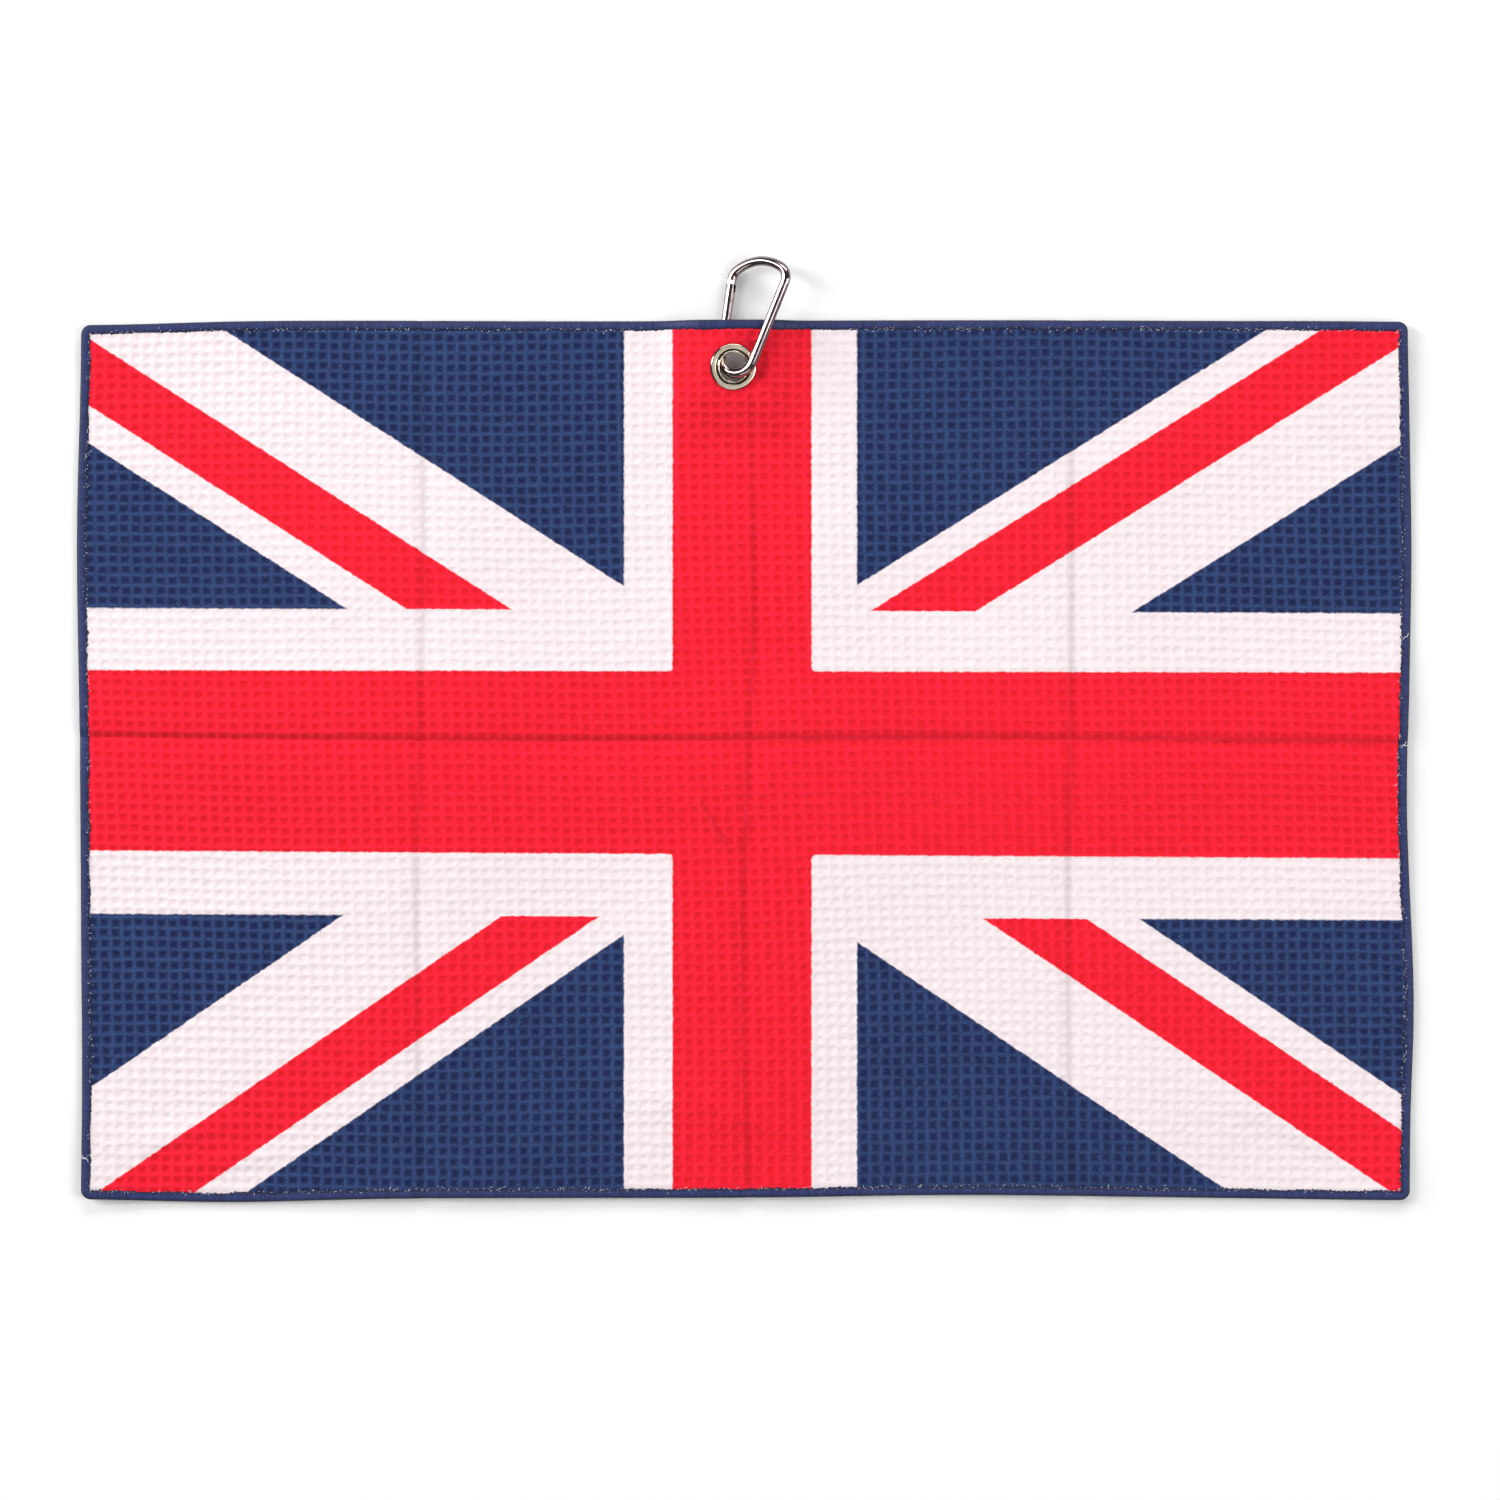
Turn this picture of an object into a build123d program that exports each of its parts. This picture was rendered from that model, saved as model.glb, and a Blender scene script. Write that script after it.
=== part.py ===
"""Golf towel with a grommet at the middle of one long edge and a sprung snap hook.

Row frame: the towel lies flat with its back on z = 0, face up.
+X runs along the long side, +Y points to the edge that carries the grommet.
All sizes are millimetres.
"""
import os
from math import atan2, cos, hypot, radians, sin, tan

from build123d import *

os.makedirs("parts", exist_ok=True)

# ---------------------------------------------------------------- towel cloth
towel_long = 610.0
towel_short = 403.0
corner_r = 3.5
cloth_t = 2.2

# overlocked edge: an upper thread wraps the rim, a lower thread backs it
edge_w = 4.3
edge_t = 2.4
rim_t = 0.6
edge_cover_t = 0.45
needle_w = 0.5
needle_t = 0.25

# ------------------------------------------------------------------- grommet
hole_x = -5.0
hole_y = 179.9
bore_r = 6.4
barrel_r = 6.95
lip_r = 7.5
flange_r = 10.7
clamp_t = 1.1
grommet_t = 3.0
plate_t = 0.35

# The cloth is lifted over the lower limb of the hook and tipped at the grommet
lift_at_hole = 6.45
lift_slope = 0.0863
tip_slope = 0.168
tip_inner_r = 10.9
tip_fade = 6.1
swell_left = 37.0
swell_left_fade = 24.0
swell_right = 35.0
swell_right_fade = 22.0
swell_back = 40.0
swell_back_fade = 28.5

# ----------------------------------------------------------------- snap hook
wire_r = 2.225
loop_yaw = 13.2
loop_roll = 28.0
floor_gap = 0.075
bend_r = 8.6
bend_u = 5.8
bend_w = 1.0
gate_lean = 5.77
spine_lean = 10.05
nose_r = 6.0
top_r = 19.8
shoulder_r = 6.0
top_heading_in = 45.0
top_heading_out = 107.0
top_centre_u = 30.6
top_centre_w = 5.4

# gate, measured from the hinge pin along the gate
hinge_u = 7.0
gate_tail = 1.9
gate_end = 30.2
nose_end = 32.2
slot_w = 1.8
tongue_t = 1.6
tongue_half_w = 1.7
tail_wire_end = 3.3
tongue_tip_r = 1.95
tongue_tip_flat = 1.70
hinge_slot_end = 2.25
hinge_pin_r = 0.75
hinge_run = 0.05
latch_x = 28.9
latch_pin_r = 0.65
latch_notch_r = 0.80
latch_slot_end = 26.5
tongue_reach = 27.0
pin_half_len = 2.15
bore_gate_r = 1.2
bore_start = 1.5
bore_end = 16.0
plunger_r = 1.15
plunger_face = 1.75
plunger_len = 3.0
spring_wire_r = 0.16
spring_mean_r = 0.9
spring_start = 5.35
spring_len = 10.3
spring_turns = 12


def smooth(t):
    """Ease from 0 to 1."""
    t = min(1.0, max(0.0, t))
    return t * t * (3.0 - 2.0 * t)


def lift(x, y):
    """Height of the cloth's back above the ground at a point of the towel."""
    dx = x - hole_x
    dy = y - hole_y
    swell = smooth((dx + swell_left) / swell_left_fade)
    swell = swell * smooth((swell_right - dx) / swell_right_fade)
    swell = swell * smooth((dy + swell_back) / swell_back_fade)
    near = 1.0 - smooth((hypot(dx, dy) - tip_inner_r) / tip_fade)
    return swell * (lift_at_hole + lift_slope * dy) - near * tip_slope * dx


def span(low, high, step):
    """Evenly spread values from low to high, about one step apart."""
    count = max(1, round((high - low) / step))
    return [low + (high - low) * i / count for i in range(count + 1)]


# ------------------------------------------------- the lifted patch's surface
# Only the patch around the grommet is lifted; the rest of the towel is flat
patch_left = hole_x - swell_left - 3
patch_right = hole_x + swell_right + 3
patch_back = hole_y - swell_back - 3
patch_top = towel_short / 2 + 2
patch_x = span(patch_left, patch_right, 2.5)
patch_y = span(patch_back, patch_top, 2.5)
grid = [[Vector(x, y, lift(x, y)) for y in patch_y] for x in patch_x]
back_surface = Face.make_surface_from_array_of_points(grid, tol=0.05)
patch_size_x = patch_right - patch_left
patch_size_y = patch_top - patch_back
patch_mid = Pos((patch_left + patch_right) / 2, (patch_back + patch_top) / 2, 10)
patch_box = patch_mid * Box(patch_size_x, patch_size_y, 40)


def outline(inset, low, high):
    """Upright block with the towel's outline, drawn in by the inset."""
    radius = max(corner_r - inset, 0.6)
    shape = RectangleRounded(towel_long - 2 * inset, towel_short - 2 * inset, radius)
    return Pos(0, 0, low) * extrude(shape, high - low)


def layer(low, high, outer_inset, inner_inset=None):
    """Sheet of constant upright thickness over the flat part and the lifted patch."""
    flat = outline(outer_inset, low, high) - patch_box
    lifted = Solid.extrude(back_surface.moved(Pos(0, 0, low)), Vector(0, 0, high - low))
    lifted = lifted & outline(outer_inset, -4, 26)
    if inner_inset is not None:
        flat = flat - outline(inner_inset, low - 1, high + 1)
        lifted = lifted - outline(inner_inset, -4, 26)
    return flat + lifted


cover_low = edge_cover_t
cover_high = edge_t - edge_cover_t

# ------------------------------------------------------------ grommet's frame
mid_lift = lift_at_hole + cloth_t / 2
grommet_plane = Plane(
    origin=(hole_x, hole_y, mid_lift),
    x_dir=(1, 0, -tip_slope),
    z_dir=(tip_slope, -lift_slope, 1),
)
grommet_loc = grommet_plane.location


def disc(radius, low, high):
    """Round slug on the grommet's axis."""
    return grommet_loc * Pos(0, 0, low) * extrude(Circle(radius), high - low)


cloth_core = layer(cover_low, cover_high, rim_t)
cloth_field = layer(0, cloth_t, edge_w)
towel_cloth = cloth_field + cloth_core
towel_cloth = towel_cloth - disc(barrel_r, -6, 6)
towel_cloth = towel_cloth - disc(flange_r + 0.1, clamp_t / 2, 6)
towel_cloth = towel_cloth - disc(flange_r + 0.1, -6, -clamp_t / 2)
export_step(towel_cloth, "parts/towel_cloth.step")

# ------------------------------------------------------------ overlocked edge
upper_cover = layer(cover_high, edge_t, 0, edge_w)
rim_wrap = layer(cover_low, cover_high, 0, rim_t)
edge_upper_thread = upper_cover + rim_wrap
export_step(edge_upper_thread, "parts/edge_upper_thread.step")

edge_lower_thread = layer(0, cover_low, 0, edge_w)
export_step(edge_lower_thread, "parts/edge_lower_thread.step")

needle_row = layer(cloth_t, cloth_t + needle_t, edge_w, edge_w + needle_w)
export_step(needle_row, "parts/edge_needle_thread.step")


# -------------------------------------------------------------------- grommet
def spun(points, rounds):
    """Ring turned about the grommet's axis from a profile of (radius, height)."""
    profile = make_face(Polyline(*points, close=True))
    for (radius, height), fillet_r in rounds:
        corner = profile.vertices().sort_by_distance((radius, height, 0))[0]
        profile = fillet(corner, fillet_r)
    upright = Plane.XZ * profile
    return grommet_loc * revolve(upright, Axis.Z)


half_g = grommet_t / 2
half_c = clamp_t / 2
eyelet = spun(
    [
        (bore_r, -half_g),
        (flange_r, -half_g),
        (flange_r, -half_c),
        (barrel_r, -half_c),
        (barrel_r, half_c + plate_t),
        (lip_r, half_c + plate_t),
        (lip_r, half_g),
        (bore_r, half_g),
    ],
    [
        ((bore_r, -half_g), 0.9),
        ((flange_r, -half_g), 0.85),
        ((lip_r, half_g), 0.5),
        ((bore_r, half_g), 0.55),
    ],
)
export_step(eyelet, "parts/grommet_eyelet.step")

washer = spun(
    [
        (barrel_r, half_c),
        (flange_r, half_c),
        (flange_r, half_g - 0.05),
        (8.35, half_g - 0.05),
        (7.75, half_c + plate_t),
        (barrel_r, half_c + plate_t),
    ],
    [
        ((flange_r, half_g - 0.05), 0.8),
        ((8.35, half_g - 0.05), 0.5),
    ],
)
export_step(washer, "parts/grommet_washer.step")

# ---------------------------------------------------------- snap hook's frame
yaw = radians(loop_yaw)
roll = radians(loop_roll)
along = (sin(yaw), cos(yaw), 0)
across = (cos(yaw) * cos(roll), -sin(yaw) * cos(roll), sin(roll))
face_dir = (cos(yaw) * sin(roll), -sin(yaw) * sin(roll), -cos(roll))

# gate line and spine line both run tangent to the narrow bend
gate_ang = radians(gate_lean)
spine_ang = radians(spine_lean)
gate_dir = (cos(gate_ang), -sin(gate_ang))
spine_dir = (cos(spine_ang), sin(spine_ang))
gate_tan = (bend_u - bend_r * sin(gate_ang), bend_w - bend_r * cos(gate_ang))
spine_tan = (bend_u - bend_r * sin(spine_ang), bend_w + bend_r * cos(spine_ang))
hinge_s = (hinge_u - gate_tan[0]) / gate_dir[0]
hinge_pt = (hinge_u, gate_tan[1] + gate_dir[1] * hinge_s)
nose_pt = (hinge_pt[0] + gate_dir[0] * nose_end, hinge_pt[1] + gate_dir[1] * nose_end)
tail_pt = (
    hinge_pt[0] - gate_dir[0] * tail_wire_end,
    hinge_pt[1] - gate_dir[1] * tail_wire_end,
)
lowest_w = nose_pt[1]
hook_z = wire_r + floor_gap - lowest_w * sin(roll)
hook_plane = Plane(origin=(hole_x, hole_y, hook_z), x_dir=along, z_dir=face_dir)
hook_loc = hook_plane.location
gate_loc = hook_loc * Pos(hinge_pt[0], hinge_pt[1], 0) * Rot(0, 0, -gate_lean)


def cross(p, d, q, e):
    """Meeting point of the line through p along d and the line through q along e."""
    det = d[0] * e[1] - d[1] * e[0]
    s = ((q[0] - p[0]) * e[1] - (q[1] - p[1]) * e[0]) / det
    return (p[0] + d[0] * s, p[1] + d[1] * s)


def heading(deg):
    """Unit direction at an angle from the hook's long axis."""
    return (cos(radians(deg)), sin(radians(deg)))


in_dir = heading(top_heading_in)
out_dir = heading(top_heading_out)
out_pt = (
    top_centre_u + top_r * out_dir[1],
    top_centre_w - top_r * out_dir[0],
)
in_pt = (
    top_centre_u + top_r * in_dir[1],
    top_centre_w - top_r * in_dir[0],
)
knee_nose = cross(gate_tan, gate_dir, in_pt, in_dir)
knee_top = cross(in_pt, in_dir, out_pt, out_dir)
knee_shoulder = cross(out_pt, out_dir, spine_tan, spine_dir)
knee_bend = cross(spine_tan, spine_dir, gate_tan, gate_dir)


def rounded_path(start, corners, end):
    """Flat wire path of straight runs joined by tangent bends."""
    pieces = []
    here = start
    stops = [c[0] for c in corners] + [end]
    for i in range(len(corners)):
        corner, radius = corners[i]
        after = stops[i + 1]
        d_in = (corner[0] - here[0], corner[1] - here[1])
        d_out = (after[0] - corner[0], after[1] - corner[1])
        len_in = hypot(d_in[0], d_in[1])
        len_out = hypot(d_out[0], d_out[1])
        d_in = (d_in[0] / len_in, d_in[1] / len_in)
        d_out = (d_out[0] / len_out, d_out[1] / len_out)
        turn = atan2(d_in[0] * d_out[1] - d_in[1] * d_out[0], d_in[0] * d_out[0] + d_in[1] * d_out[1])
        reach = radius * tan(abs(turn) / 2)
        bend_in = (corner[0] - d_in[0] * reach, corner[1] - d_in[1] * reach)
        bend_out = (corner[0] + d_out[0] * reach, corner[1] + d_out[1] * reach)
        side = 1.0 if turn > 0 else -1.0
        centre = (bend_in[0] - d_in[1] * radius * side, bend_in[1] + d_in[0] * radius * side)
        half = ((bend_in[0] + bend_out[0]) / 2 - centre[0], (bend_in[1] + bend_out[1]) / 2 - centre[1])
        size = hypot(half[0], half[1])
        middle = (centre[0] + half[0] / size * radius, centre[1] + half[1] / size * radius)
        if hypot(bend_in[0] - here[0], bend_in[1] - here[1]) > 0.01:
            pieces.append(Line(here, bend_in))
        pieces.append(ThreePointArc(bend_in, middle, bend_out))
        here = bend_out
    if hypot(end[0] - here[0], end[1] - here[1]) > 0.01:
        pieces.append(Line(here, end))
    return pieces


def rod(pieces, radius):
    """Round wire swept along a path."""
    path = Wire(pieces)
    start = Plane(origin=path @ 0, z_dir=path % 0)
    return sweep(start * Circle(radius), path=path)


# The spine is built first, the narrow bend last, so no corner point is far off
spine_mid = (spine_tan[0] + spine_dir[0] * 14, spine_tan[1] + spine_dir[1] * 14)
upper_path = rounded_path(
    nose_pt,
    [(knee_nose, nose_r), (knee_top, top_r), (knee_shoulder, shoulder_r)],
    spine_tan,
)
bend_back = (bend_u - bend_r, bend_w)
lower_path = [ThreePointArc(spine_tan, bend_back, gate_tan)]
if hypot(tail_pt[0] - gate_tan[0], tail_pt[1] - gate_tan[1]) > 0.01:
    lower_path.append(Line(gate_tan, tail_pt))
hook_wire = rod(upper_path + lower_path, wire_r)


def plate(length, half_width, thick):
    """Flat bar along x, centred on the gate's axis."""
    return Box(length, 2 * half_width, thick)


# hinge tongue: flattened end of the bend, with a flat on its tip for the plunger
gate_inv = gate_loc.inverse()
wire_in_gate = hook_loc * hook_wire
wire_in_gate = gate_inv * wire_in_gate
hinge_bar = Pos(-2.2, 0, 0) * plate(4.4, tongue_tip_r, tongue_t)
hinge_eye = Pos(0, 0, -tongue_t / 2) * extrude(Circle(tongue_tip_r), tongue_t)
tip_trim = Pos(tongue_tip_flat + 1, 0, 0) * plate(2.0, 3.0, 4.0)
hinge_tongue = hinge_bar + hinge_eye - tip_trim
hinge_hole = Cylinder(hinge_pin_r + hinge_run, 6)

# nose tongue: flat hook that the latch pin drops into from the inside
nose_len = nose_end + 1.0 - tongue_reach
nose_bar = Pos(tongue_reach + nose_len / 2, 0, 0) * plate(nose_len, tongue_half_w, tongue_t)
notch = Pos(latch_x, 0, 0) * Cylinder(latch_notch_r, 6)
notch_way = Pos(latch_x, 2.0, 0) * Box(2 * latch_notch_r, 4.0, 6)
nose_tongue = nose_bar - notch - notch_way
hook_body = wire_in_gate + hinge_tongue + nose_tongue - hinge_hole
export_step(gate_loc * hook_body, "parts/hook_body.step")

# gate: round bar, forked at both ends and bored for the spring
gate_len = gate_end + gate_tail
gate_rod = Pos(-gate_tail + gate_len / 2, 0, 0) * Rot(0, 90, 0) * Cylinder(wire_r, gate_len)
gate_rims = gate_rod.edges().filter_by(GeomType.CIRCLE)
gate_rod = chamfer(gate_rims, 0.35)
hinge_slot_len = hinge_slot_end + gate_tail + 1
hinge_slot = Pos(hinge_slot_end - hinge_slot_len / 2, 0, 0) * Box(hinge_slot_len, 8, slot_w)
latch_slot_len = gate_end + 1 - latch_slot_end
latch_slot = Pos(latch_slot_end + latch_slot_len / 2, 0, 0) * Box(latch_slot_len, 8, slot_w)
bore_len = bore_end - bore_start
spring_bore = Pos(bore_start + bore_len / 2, 0, 0) * Rot(0, 90, 0) * Cylinder(bore_gate_r, bore_len)
hinge_cheek_hole = Cylinder(hinge_pin_r, 8)
latch_cheek_hole = Pos(latch_x, 0, 0) * Cylinder(latch_pin_r, 8)
gate = gate_rod - hinge_slot - latch_slot - spring_bore - hinge_cheek_hole - latch_cheek_hole
export_step(gate_loc * gate, "parts/hook_gate.step")


def rivet(radius):
    """Short pin with slightly broken ends."""
    pin = Cylinder(radius, 2 * pin_half_len)
    return chamfer(pin.edges().filter_by(GeomType.CIRCLE), 0.15)


export_step(gate_loc * rivet(hinge_pin_r), "parts/hinge_pin.step")
export_step(gate_loc * Pos(latch_x, 0, 0) * rivet(latch_pin_r), "parts/latch_pin.step")

# plunger and spring that push the gate shut, inside the gate's bore
plunger = Rot(0, 90, 0) * Cylinder(plunger_r, plunger_len)
plunger = chamfer(plunger.edges().filter_by(GeomType.CIRCLE).sort_by(Axis.X)[0], 0.3)
plunger = Pos(plunger_face + plunger_len / 2, 0, 0) * plunger
export_step(gate_loc * plunger, "parts/gate_plunger.step")

coil = Helix(pitch=spring_len / spring_turns, height=spring_len, radius=spring_mean_r)
coil_start = Plane(origin=coil @ 0, z_dir=coil % 0)
spring = sweep(coil_start * Circle(spring_wire_r), path=coil)
spring = Pos(spring_start, 0, 0) * Rot(0, 90, 0) * spring
export_step(gate_loc * spring, "parts/gate_spring.step")
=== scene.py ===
"""Visual model of the golf towel: waffle cloth, overlocked edge, grommet and snap hook."""
import math

import bpy
import numpy as np
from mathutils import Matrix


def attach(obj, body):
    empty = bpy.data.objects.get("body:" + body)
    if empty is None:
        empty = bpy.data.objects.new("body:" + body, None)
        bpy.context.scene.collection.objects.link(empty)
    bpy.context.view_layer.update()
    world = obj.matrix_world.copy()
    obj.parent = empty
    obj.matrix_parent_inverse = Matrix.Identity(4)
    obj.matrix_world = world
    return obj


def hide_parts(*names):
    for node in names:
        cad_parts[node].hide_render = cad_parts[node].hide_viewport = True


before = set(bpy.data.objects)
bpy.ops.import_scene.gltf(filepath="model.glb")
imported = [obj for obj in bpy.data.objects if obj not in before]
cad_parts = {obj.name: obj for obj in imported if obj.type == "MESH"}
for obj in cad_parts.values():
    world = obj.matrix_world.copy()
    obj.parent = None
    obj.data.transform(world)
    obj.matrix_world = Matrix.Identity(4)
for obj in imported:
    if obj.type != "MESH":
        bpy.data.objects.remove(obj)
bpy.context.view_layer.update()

MM = 0.001

# ------------------------------------------------------------------ sizes, mm
LONG, SHORT = 610.0, 403.0
HOLE = (-5.0, 179.9)
CLOTH_T = 2.2
CLOTH_INSET = 0.9
CORNER_R = 4.5
EDGE_W = 4.3
BARREL_R = 7.05
CLAMP_T = 1.1
CLAMP_R, CLAMP_RUN = 11.0, 4.0
STITCHED_W, STITCHED_RUN, STITCHED_PINCH = 3.6, 2.2, 0.42

# cloth lifted over the hook's lower limb: how far it reaches left, right and down from
# the hole, how far each side takes to rise, and its height and slope at the hole
LIFT_LEFT, LIFT_LEFT_RUN = 37.0, 24.0
LIFT_RIGHT, LIFT_RIGHT_RUN = 35.0, 22.0
LIFT_DOWN, LIFT_DOWN_RUN = 40.0, 28.5
LIFT_HEIGHT, LIFT_SLOPE = 6.45, 0.0863
COLLAR_R, COLLAR_RUN, COLLAR_TILT = 10.9, 6.1, 0.168

# weave: cells across and down, and quads per cell on the front and the back
CELLS_X, CELLS_Y = 114, 84
FINE, COARSE = 6, 3
PITCH_X = 5.34
PITCH_TOP, PITCH_BOTTOM = 4.63, 4.94
PIT_FRONT, PIT_BACK = 0.50, 0.42
LEAN = 0.020

rng = np.random.default_rng(7)


# ------------------------------------------------------------- cloth geometry
def ease(t):
    """Smooth step from 0 to 1."""
    t = np.clip(t, 0.0, 1.0)
    return t * t * (3.0 - 2.0 * t)


def lift(x, y):
    """Height of the cloth's back over the hook's lower limb, as in the frame."""
    dx, dy = x - HOLE[0], y - HOLE[1]
    left = ease((dx + LIFT_LEFT) / LIFT_LEFT_RUN)
    right = ease((LIFT_RIGHT - dx) / LIFT_RIGHT_RUN)
    swell = left * right * ease((dy + LIFT_DOWN) / LIFT_DOWN_RUN)
    near = 1.0 - ease((np.hypot(dx, dy) - COLLAR_R) / COLLAR_RUN)
    return swell * (LIFT_HEIGHT + LIFT_SLOPE * dy) - near * COLLAR_TILT * dx


def bell(x, middle, width):
    """Gaussian hump of height 1."""
    return np.exp(-(((x - middle) / width) ** 2))


def ridge(x, y, a, b, width):
    """Soft hump of height 1 along the straight line from a to b."""
    ax, ay = a
    bx, by = b
    length = math.hypot(bx - ax, by - ay)
    ux, uy = (bx - ax) / length, (by - ay) / length
    along = (x - ax) * ux + (y - ay) * uy
    aside = (x - ax) * -uy + (y - ay) * ux
    ends = ease(along / (0.3 * length)) * ease((length - along) / (0.3 * length))
    return ends * np.exp(-((aside / width) ** 2))


# upright packing folds: place, wobble and depth
FOLDS = ((-147.7, 1.5, 0.8), (3.0, 2.5, 1.0), (150.5, 1.0, 1.0))


def level_fold(x):
    """Height on the towel of the one level packing fold."""
    return 9.0 - 0.003 * x + 0.8 * np.sin(x / 70.0)


def drape(x, y):
    """Height the cloth stands off the ground from its fold creases and slack."""
    fold = np.zeros_like(x)
    # packing folds: three upright and one level, each a narrow valley
    for fx, wobble, depth in FOLDS:
        line = fx + wobble * np.sin(y / 60.0)
        away = x - line
        steep = np.where(away < 0, 2.4, 9.0)
        fold += 1.7 * depth * (1.0 - np.exp(-np.abs(away) / steep)) * np.exp(-((away / 45.0) ** 2))
    away = y - level_fold(x)
    steep = np.where(away > 0, 2.2, 9.0)
    fold += 1.9 * (1.0 - np.exp(-np.abs(away) / steep)) * np.exp(-((away / 40.0) ** 2))
    # slow slack over the whole sheet
    wave_x = np.sin(x / 41.0 + 1.1 * np.sin(y / 57.0))
    wave_y = np.cos(y / 49.0 - 0.6 * np.sin(x / 83.0))
    slack = 0.55 + 0.55 * wave_x * wave_y
    slack = slack + 0.35 * np.sin(x / 23.0 - y / 31.0) * np.sin(y / 19.0 + x / 67.0)
    # bent corners and small wrinkles
    corner = 2.6 * ease(((x - 238.0) * 0.65 + (y - 150.0) * 0.76 - 12.0) / 46.0)
    corner = corner + 2.0 * ease((-x - 262.0) / 45.0) * ease((-y - 150.0) / 50.0)
    corner = corner + 1.6 * ease((x - 255.0) / 50.0) * ease((-y - 140.0) / 60.0)
    corner = corner + 1.2 * ease((-x - 268.0) / 40.0) * ease((y - 160.0) / 45.0)
    small = 1.5 * ridge(x, y, (-25.0, -12.0), (-6.0, -43.0), 2.2)
    small = small + 0.6 * ridge(x, y, (-6.0, -44.0), (16.0, 2.0), 2.6)
    small = small + 0.8 * ridge(x, y, (-62.0, -150.0), (30.0, -172.0), 8.0)
    small = small + 0.9 * ridge(x, y, (-285.0, -178.0), (-222.0, -164.0), 6.0)
    small = small + 0.8 * ridge(x, y, (-270.0, -190.0), (-205.0, -178.0), 5.0)
    small = small + 0.8 * ridge(x, y, (212.0, -150.0), (282.0, -184.0), 7.0)
    small = small + 0.7 * ridge(x, y, (240.0, 190.0), (296.0, 128.0), 5.5)
    total = np.maximum(fold + slack + corner + small, 0.0)
    # the cloth round the hook is lifted already and stays clear of it
    near = ease((np.abs(x - HOLE[0]) - 48.0) / 30.0)
    near = np.maximum(near, ease((HOLE[1] - y - 48.0) / 30.0))
    return total * near


def creased(x, y):
    """How strongly painted shade darkens the shaded side of the packing folds and of one wrinkle."""
    mark = np.zeros_like(x)
    for fx, wobble, depth in FOLDS:
        away = x - fx - wobble * np.sin(y / 60.0)
        mark = np.maximum(mark, depth * np.exp(-(((away + 1.1) / 1.6) ** 2)))
    away = y - level_fold(x)
    mark = np.maximum(mark, 1.3 * np.exp(-(((away - 1.0) / 1.5) ** 2)))
    return np.maximum(mark, 1.6 * ridge(x, y, (-24.0, -12.0), (-5.0, -43.0), 1.0))


def warp(x, y):
    """Slight waviness of the cut outline, spread over the whole sheet."""
    top = -0.1 - 2.2 * bell(x, -305, 60) - 0.4 * bell(x, 305, 30) + 0.25 * np.sin(x / 55.0)
    low = 0.5 - 1.9 * bell(x, -238, 55) + 1.4 * bell(x, 106, 80) - 0.9 * bell(x, 300, 60)
    left = 0.6 - 1.6 * bell(y, 96, 60) + 0.8 * bell(y, -150, 70) + 0.6 * bell(y, 200, 40)
    right = 0.2 + 1.0 * bell(y, 96, 45) - 1.3 * bell(y, -15, 40) + 2.0 * bell(y, -112, 45)
    right = right - 1.0 * bell(y, 200, 40)
    s = np.clip(x / LONG + 0.5, 0.0, 1.0)
    t = np.clip(y / SHORT + 0.5, 0.0, 1.0)
    return x + left * (1 - s) + right * s, y + low * (1 - t) ** 2 + top * t**2


def place(x, y, z):
    """Point of the flat sheet, z above its back, to its place on the ground in metres."""
    wx, wy = warp(x, y)
    return np.stack([wx, wy, z + lift(wx, wy) + drape(wx, wy)], axis=-1) * MM


def weave(x, y):
    """Cell coordinates of the waffle at a point of the printed face."""
    t = 0.5 - y / SHORT
    down = (t * SHORT) / (PITCH_TOP + (PITCH_BOTTOM - PITCH_TOP) * 0.5 * t)
    across = (x + LEAN * y + 1.1 * np.sin(y / 63.0) + 0.5 * np.sin(x / 47.0 + y / 90.0)) / PITCH_X
    return across, down + 0.16 * np.sin(x / 71.0) + 0.10 * np.sin(x / 29.0 + y / 60.0)


def pit(x, y):
    """0 on the ridges of the waffle, 1 in the floor of its cells."""
    a, b = weave(x, y)
    # each cell is a little off its place and a little larger or smaller than the next
    i, j = np.floor(a), np.floor(b)
    off_a = 0.10 * np.sin(12.9 * i + 78.2 * j)
    off_b = 0.10 * np.sin(39.3 * i + 11.1 * j + 1.7)
    size = 0.10 * np.sin(26.7 * i - 53.1 * j)
    u, v = np.abs(2 * (a % 1.0) - 1 + off_a), np.abs(2 * (b % 1.0) - 1 + off_b)
    rim = (u**3.2 + v**3.2) ** (1 / 3.2) + size
    return 1.0 - ease((rim - 0.22) / 0.72)


def round_corner(x, y):
    """Pulls the square corners of the sheet's grid onto its corner radius."""
    radius = CORNER_R - CLOTH_INSET
    cx = LONG / 2 - CLOTH_INSET - radius
    cy = SHORT / 2 - CLOTH_INSET - radius
    vx, vy = np.abs(x) - cx, np.abs(y) - cy
    corner = (vx > 0) & (vy > 0)
    scale = np.where(corner, np.maximum(vx, vy) / np.maximum(np.hypot(vx, vy), 1e-9), 1.0)
    return (
        np.where(corner, np.sign(x) * (cx + vx * scale), x),
        np.where(corner, np.sign(y) * (cy + vy * scale), y),
    )


GRID_X, GRID_Y = CELLS_X * FINE, CELLS_Y * FINE
STEP = FINE // COARSE
grid_x = np.linspace(-LONG / 2 + CLOTH_INSET, LONG / 2 - CLOTH_INSET, GRID_X + 1)
grid_y = np.linspace(-SHORT / 2 + CLOTH_INSET, SHORT / 2 - CLOTH_INSET, GRID_Y + 1)

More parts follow.
